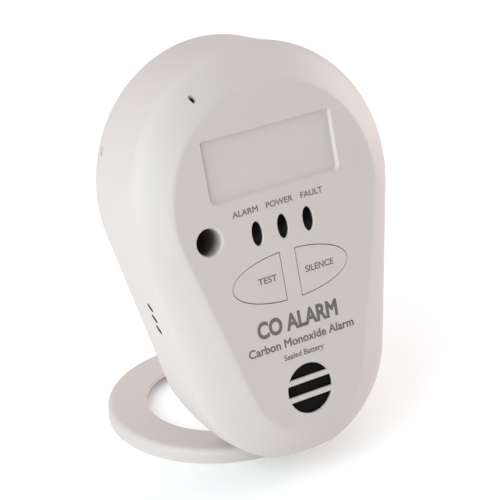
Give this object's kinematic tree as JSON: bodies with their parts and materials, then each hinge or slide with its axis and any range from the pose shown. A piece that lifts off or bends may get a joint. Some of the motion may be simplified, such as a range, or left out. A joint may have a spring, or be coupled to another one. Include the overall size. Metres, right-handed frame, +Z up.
{
  "type": "carbon monoxide alarm",
  "caption": "Tapered rounded household carbon monoxide alarm with indicator lamps, test and silence buttons and a sounder grille, leaning on a fold-out ring stand.",
  "frame": {"origin": "centre of the bounding box on the surface the stand ring rests on", "axes": "+Z up, -Y towards the viewer of the front face, +X to the viewer's right"},
  "size_m": [0.0822, 0.09, 0.1231],
  "materials": {
    "shell_white": "fine satin texture",
    "lens_smoke": "polished smoked",
    "steel": "zinc plated",
    "board_green": "solder resist",
    "foam_black": "closed-cell foam",
    "black_plastic": "satin",
    "gauze_black": "woven mesh",
    "brass_disc": "rolled",
    "sensor_grey": "moulded",
    "battery_blue": "shrink sleeve",
    "capacitor_sleeve": "shrink sleeve",
    "coil_copper": "enamelled copper winding",
    "led_red": "tinted epoxy",
    "led_green": "tinted epoxy",
    "led_amber": "tinted epoxy",
    "lead_red": "insulated wire",
    "lead_black": "insulated wire",
    "label_silver": "satin film"
  },
  "bodies": {
    "case": {"front_cover": "shell_white", "rear_cover": "shell_white", "hinge_pin": "steel", "test_switch": "steel", "silence_switch": "steel", "alarm_lens": "lens_smoke", "power_lens": "lens_smoke", "fault_lens": "lens_smoke", "alarm_led": "led_red", "power_led": "led_green", "fault_led": "led_amber", "grille_gauze": "gauze_black", "sounder_gasket": "foam_black", "sounder": "black_plastic", "sounder_disc": "brass_disc", "sounder_lead_red": "lead_red", "sounder_lead_black": "lead_black", "main_board": "board_green", "co_sensor": "sensor_grey", "sensor_gasket": "foam_black", "battery": "battery_blue", "battery_pad": "foam_black", "battery_tab_left": "steel", "battery_tab_right": "steel", "microcontroller": "black_plastic", "capacitor": "capacitor_sleeve", "boost_coil": "coil_copper", "board_screw_1": "steel", "board_screw_2": "steel", "board_screw_3": "steel", "case_screw_1": "steel", "case_screw_2": "steel", "case_screw_3": "steel", "well_screw": "steel", "rear_label": "label_silver"},
    "stand": {"stand_ring": "shell_white"},
    "test_key": {"test_button": "shell_white", "test_plunger": "black_plastic"},
    "silence_key": {"silence_button": "shell_white", "silence_plunger": "black_plastic"}
  },
  "joints": [
    {"name": "stand_fold", "type": "hinge", "parent": "case", "child": "stand", "pos_m": [0, -0.0138, 0.0023], "axis": [1, 0, 0], "range_deg": [0, 77]},
    {"name": "test_press", "type": "slide", "parent": "case", "child": "test_key", "axis": [0, 0.9759, -0.2181], "range_m": [0, 0.0008], "stiffness_N_per_m": 800, "springref_m": -0.0003},
    {"name": "silence_press", "type": "slide", "parent": "case", "child": "silence_key", "axis": [0, 0.9759, -0.2181], "range_m": [0, 0.0008], "stiffness_N_per_m": 800, "springref_m": -0.0003}
  ]
}
